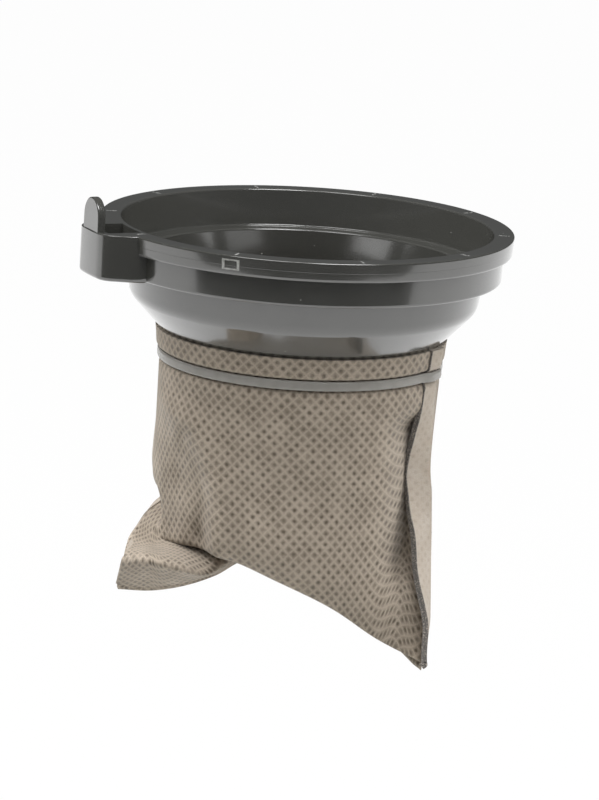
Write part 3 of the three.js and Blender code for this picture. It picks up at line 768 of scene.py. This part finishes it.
def clothColumn(column, down):
    # one column of the front or the back ply as a smooth curve: the circle at the neck, a point on
    # the way, then the lines of its ply
    half = bag["columns"] / 2
    isFront = column <= half
    across = (column if isFront else bag["columns"] - column) / half
    angle = math.radians(bag["seamTurn"] - 360 * column / bag["columns"])
    circle = np.array([math.cos(angle), math.sin(angle), 0])
    names = ("crease", "tuck", "shelfEdge", "fold") if isFront else ("back", "fold")
    lines = [curveThrough(bag[name], across) for name in names]
    first = lines[0]
    waist = circle * (1 - bag["waistEase"]) + first[1:] * bag["waistEase"]
    waist = [first[0] / 2, waist[0], waist[1], first[3] / 2]
    knots = [[0, *circle], [bag["onLip"], circle[0], circle[1], bag["onLip"]], waist, *lines]
    return curveThrough(knots, down) * (bag["radius"], bag["radius"], -bag["length"])


def downAt(across, row):
    # share of the length at each row, in even steps from one line of the front ply to the next
    shares = [0] + [float(curveThrough(bag[name], across)[0])
                    for name in ("crease", "tuck", "shelfEdge", "fold")]
    return np.interp(row, bag["rowsAbove"], shares)


def clothBelow(columns, row):
    # the cloth below the neck. The back ply is moved to meet the front one at both seams, by
    # (1 - across)^3 at the right and across^3 at the left. Each ply is then moved off the fold's
    # line by half the slot times the cube of the share of the length
    half = columns // 2
    across = np.arange(columns) / half
    across = np.minimum(across, 2 - across)
    down = np.stack([downAt(share, row) for share in across], 1)
    grid = np.stack([clothColumn(column, down[:, column]) for column in range(columns)], 1)
    justPast = 1e-6          # columns, into the back ply
    for column in range(half + 1, columns):
        share, place = across[column], down[:, column]
        right = clothColumn(0, place) - clothColumn(columns - justPast, place)
        left = clothColumn(half, place) - clothColumn(half + justPast, place)
        grid[:, column] += right * (1 - share) ** 3 + left * share ** 3
    step = 0.01
    fold = curveThrough(bag["fold"], np.minimum(across + step, 1))
    fold = (fold - curveThrough(bag["fold"], np.maximum(across - step, 0)))[:, 1:3]
    fold /= np.linalg.norm(fold, axis=-1, keepdims=True)
    isFront = np.arange(columns) <= half
    nearSeam = np.minimum(1, np.minimum(across, 1 - across) / bag["partOver"])
    apart = (np.where(isFront, 1, -1) * nearSeam * bag["foldSlot"] / 2)[None] * down ** 3
    grid[..., 0] -= fold[:, 1] * apart
    grid[..., 1] += fold[:, 0] * apart
    grid[..., 2] += bag["top"]
    return grid + creasePush(isFront[None], np.broadcast_to(across, down.shape), down)


def collarRings(columns):
    # the collar's middle line, smoothed and turned about the axis
    line = np.asarray(bag["collar"], float)
    length = np.concatenate([[0], np.cumsum(np.linalg.norm(np.diff(line, axis=0), axis=1))])
    fine = curveThrough(np.column_stack([length, line]),
                        np.linspace(0, length[-1], bag["collarRows"]))
    angle = np.radians(bag["seamTurn"] - 360 * np.arange(columns) / columns)
    radius, height = fine[:, :1], fine[:, 1:]
    return np.stack([radius * np.cos(angle), radius * np.sin(angle), height + 0 * angle], -1)


def bagSurface():
    # rows of the cloth's middle surface: collar, hanging cloth, then a half round that brings the
    # front and the back ply together along the bottom fold
    columns = bag["columns"]
    hanging = clothBelow(columns, np.linspace(0, 1, bag["rows"] + 1))
    last = hanging[-1]
    partner = last[(columns - np.arange(columns)) % columns]
    middle = (last + partner) / 2
    reach = bag["foldSlot"] / 2
    t = np.linspace(0, math.pi / 2, bag["foldRows"] + 1)[1:, None, None]
    rounded = middle + (last - middle) * np.cos(t) + np.array([0, 0, -reach]) * np.sin(t)
    return np.concatenate([collarRings(columns), hanging, rounded])


def flatUv(surface, startMm, widthMm):
    # u runs round the bag and v down it, in mm of flat cloth; v is the length along each column
    steps = np.linalg.norm(np.diff(surface, axis=0), axis=-1)
    v = np.concatenate([np.zeros((1, surface.shape[1])), np.cumsum(steps, 0)])
    u = np.broadcast_to(startMm + np.linspace(0, widthMm, surface.shape[1]), v.shape)
    return np.stack([u, v], -1) / cloth["uvScale"]


def cornerValues(values, rows, columns):
    # the grid's values at the four corners of each cell, in the order of gridFaces
    r, c = np.meshgrid(np.arange(rows - 1), np.arange(columns - 1), indexing="ij")
    r, c = r.ravel(), c.ravel()
    return np.stack([values[r, c], values[r + 1, c], values[r + 1, c + 1], values[r, c + 1]], 1)


def flapSurface(surface, column, lean):
    # the flap leaves the seam along lean; beside the collar it follows a circle and lies on the
    # cloth, and lower down it stands straight
    root = surface[:-bag["foldRows"], column]
    row = np.clip((np.arange(len(root)) - bag["collarRows"]) / bag["rows"], 0, 1)
    down = downAt(2 * column / bag["columns"], row)
    heading = curveThrough(lean, down)
    heading /= np.linalg.norm(heading, axis=-1, keepdims=True)
    onCollar = 1 - smoothstep(down, 0.0, bag["flapLies"])[:, None]
    s = np.linspace(0, bag["flapWidth"] - bag["flapEdge"], bag["flapSteps"])
    s = np.append(s, bag["flapWidth"])
    bend = -onCollar * s / bag["flapBend"]
    c, n = np.cos(bend / 2), np.sin(bend / 2)
    x = heading[:, :1] * c - heading[:, 1:] * n
    y = heading[:, :1] * n + heading[:, 1:] * c
    # the lift is square to the flap, on the side that faces away from the ring's axis
    lift = bag["flapLift"] * onCollar * smoothstep(s, 0.0, bag["flapLiftOver"])
    lift = lift * np.sign(x[:, -1] * root[:, 1] - y[:, -1] * root[:, 0])[:, None]
    rise = bag["flapRise"] * smoothstep(down, bag["riseFrom"], 1.0)[:, None] * s / bag["flapWidth"]
    return np.stack([root[:, :1] + x * s - y * lift, root[:, 1:2] + y * s + x * lift,
                     root[:, 2:3] + rise], -1)


def surfaceNormals(surface):
    # cross product of the grid's two directions
    normal = np.cross(np.gradient(surface, axis=0), np.gradient(surface, axis=1))
    return normal / np.maximum(np.linalg.norm(normal, axis=-1, keepdims=True), 1e-9)


def makeBag():
    # the bag is one closed tube of cloth; each flap is two plies side by side, and Solidify gives
    # all of it the cloth's thickness
    surface = bagSurface()
    rows, columns = surface.shape[:2]
    closed = np.concatenate([surface, surface[:, :1]], 1)
    circumference = 2 * math.pi * bag["radius"]
    points = [surface.reshape(-1, 3)]
    faces = [gridFaces(rows, columns, True)]
    corners = [cornerValues(flatUv(closed, 0, circumference), rows, columns + 1)]
    slots = [np.zeros(len(faces[0]), int)]
    count = rows * columns
    for column, lean in ((0, "rightLean"), (columns // 2, "leftLean")):
        start = circumference * column / columns
        flap = flapSurface(surface, column, bag[lean])
        normal = surfaceNormals(flap)
        for side in (-1, 1):
            ply = flap + normal * side * (cloth["thickness"] / 2 + bag["flapGap"])
            cells = gridFaces(*ply.shape[:2], False)
            points.append(ply.reshape(-1, 3))
            faces.append(cells + count)
            corners.append(cornerValues(flatUv(ply, start, bag["flapWidth"]), *ply.shape[:2]))
            slots.append(np.tile([1] * (ply.shape[1] - 2) + [2], ply.shape[0] - 1))   # 2: cut edge
            count += ply.shape[0] * ply.shape[1]
    materials = [
        spunbondCloth("spunbondPolypropylene", cloth["colour"], cloth["shadeColour"], 1.0),
        # the flaps' copy of the cloth is painted lighter, for the side light that falls on them
        spunbondCloth("weldedSpunbondPaintedLighter", cloth["flapPaintedLightColour"], cloth["colour"], cloth["flapDots"]),
        cutEdge(),
    ]
    piece = makePiece("clothBag", turned(np.concatenate(points), bag["turn"]),
                      np.concatenate(faces), materials, np.concatenate(slots),
                      np.concatenate(corners))
    cleanMesh(piece, bag["mergeMm"], outwards=False)
    solidify = piece.modifiers.new("clothThickness", "SOLIDIFY")
    solidify.thickness = cloth["thickness"] * mm
    solidify.offset = 0
    applyModifiers(piece)
    smoothShade(piece, bag["sharpAngle"])
    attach(piece, "root")
    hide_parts("filter_bag")


makeBag()
print("bag made")


band = {
    "segments": 240,
    "sectionSteps": 28,
    "radius": 36.05,
    "height": 2.45,
    "thickness": 1.25,
    "roundness": 0.6,        # 1 gives an oval section, and less makes it squarer
    "sharpAngle": 60,        # degrees
    "middle": -29.72,
    "bulge": 1.35,           # mm that a flap lifts it
    "bulgeShift": -5.0,      # degrees from the seam to the flap's middle
    "bulgeFrom": 4.0,        # degrees from there to where the lift begins to fall, and to where
    "bulgeTo": 10.0,         # it is gone
}


def squareOff(value):
    # sign(value) |value|^roundness, which turns a circle's sine and cosine into a rounded square's
    return np.sign(value) * np.abs(value) ** band["roundness"]


def makeBand():
    # a rounded bar carried round the collar, lifted where it runs over each seam's flap
    angle = np.linspace(-180, 180, band["segments"], endpoint=False)
    lift = np.zeros_like(angle)
    for seam in (bag["seamTurn"], bag["seamTurn"] + 180):
        flapMiddle = bag["turn"] + seam + band["bulgeShift"]
        away = np.abs((angle - flapMiddle + 180) % 360 - 180)
        lift += band["bulge"] * (1 - smoothstep(away, band["bulgeFrom"], band["bulgeTo"]))
    t = np.linspace(0, 2 * math.pi, band["sectionSteps"], endpoint=False)[:, None]
    thick, high = squareOff(np.cos(t)), squareOff(np.sin(t))
    radius = band["radius"] + lift + band["thickness"] / 2 * thick
    height = band["middle"] + band["height"] / 2 * high + 0 * angle
    around = np.radians(angle)
    points = np.stack([radius * np.cos(around), radius * np.sin(around), height], -1)
    closed = np.concatenate([points, points[:1]])
    piece = makePiece("elasticBand", closed.reshape(-1, 3),
                      gridFaces(len(closed), band["segments"], True), [translucentElastomer()])
    cleanMesh(piece)
    smoothShade(piece, band["sharpAngle"])
    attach(piece, "root")
    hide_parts("retaining_band")


makeBand()
print("band made")


studio = {
    "floorDrop": 200.0,      # mm below the bag's tip
    # metres right of and behind the part as the camera sees it. The plastic's upright walls mirror
    # what lies past the near edge, which is the dark room
    "floorCorners": ((-3.0, -0.5), (-0.75, -0.5), (-0.5, -0.66), (0.5, -0.66), (0.75, -0.5),
                     (3.0, -0.5), (3.0, 4.5), (-3.0, 4.5)),
    "floorColour": "#c8c8c5",
    "floorWhite": 0.98,      # share of plain white that the camera sees on the floor
    "worldColour": "#a9abae",
    "worldStrength": 0.15,
}
softboxes = (
    # name, place as metres right of, behind and above the part as the camera sees it, size, watts,
    # whether the plastic mirrors it
    ("topLeftBox", (-0.68, 0.05, 0.95), (0.5, 0.9), 9.0, False),
    ("topRightBox", (0.72, 0.2, 0.92), (0.5, 0.9), 8.0, False),
    ("overheadBox", (-0.3, 0.1, 1.25), (0.9, 0.9), 13.0, False),
    ("frontLeftBox", (-0.34, -0.52, 1.02), (0.55, 0.55), 3.6, True),
    ("frontRightBox", (0.3, -0.54, 1.02), (0.55, 0.55), 7.5, True),
    ("leftWall", (-1.05, 0.3, 0.75), (1.6, 0.8), 14.5, False),
    ("rightWall", (1.05, 0.2, 0.3), (1.8, 0.8), 10.0, False),
    ("frontBox", (-0.1, -1.25, 0.6), (1.0, 0.6), 5.2, False),
)


def makeSoftbox(name, place, size, power, mirrored):
    # an even rectangle of light that faces the part
    light = bpy.data.lights.new(name, "AREA")
    light.shape = "RECTANGLE"
    light.size, light.size_y = size
    light.energy = power
    lamp = bpy.data.objects.new(name, light)
    bpy.context.scene.collection.objects.link(lamp)
    lamp.location = turned([place], view["azimuth"])[0]
    lamp.rotation_mode = "QUATERNION"
    lamp.rotation_quaternion = (-lamp.location).to_track_quat("-Z", "Y")
    lamp.visible_glossy = mirrored


def whiteFor(tree, plain, kind, rays, share):
    # the plain shader, with a share of even white for the named kinds of ray
    path = addNode(tree, "ShaderNodeLightPath")
    seen = 0.0
    for ray in rays:
        seen = addNode(tree, "ShaderNodeMath", {0: path.outputs[ray], 1: seen}, operation="MAXIMUM")
    factor = addNode(tree, "ShaderNodeMath", {0: seen, 1: share}, operation="MULTIPLY")
    white = addNode(tree, kind, {"Color": (1, 1, 1, 1), "Strength": 1.0})
    return addNode(tree, "ShaderNodeMixShader", {0: factor, 1: plain, 2: white})


def makeStudio():
    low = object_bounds()[0].z - studio["floorDrop"] * mm
    corners = turned([corner + (low,) for corner in studio["floorCorners"]], view["azimuth"])
    material, tree = newMaterial("paleTable")
    plain = addNode(tree, "ShaderNodeBsdfDiffuse", {"Color": linear(studio["floorColour"])})
    rays = ("Is Camera Ray", "Is Glossy Ray", "Is Transmission Ray")
    finishMaterial(tree, whiteFor(tree, plain, "ShaderNodeEmission", rays, studio["floorWhite"]))
    floor = makePiece("floor", corners / mm, [range(len(corners))], [material])
    # the room is white to the camera and through clear things, and dark in the plastic
    world = bpy.data.worlds.new("studioWorld")
    bpy.context.scene.world = world
    world.use_nodes = True
    tree = world.node_tree
    tree.nodes.clear()
    soft = addNode(tree, "ShaderNodeBackground", {"Color": linear(studio["worldColour"]),
                                                  "Strength": studio["worldStrength"]})
    rays = ("Is Camera Ray", "Is Transmission Ray")
    mixed = whiteFor(tree, soft, "ShaderNodeBackground", rays, 1.0)
    addNode(tree, "ShaderNodeOutputWorld", {"Surface": mixed})
    for box in softboxes:
        makeSoftbox(*box)


makeStudio()
bpy.context.scene.view_settings.view_transform = "Standard"
print("studio made")
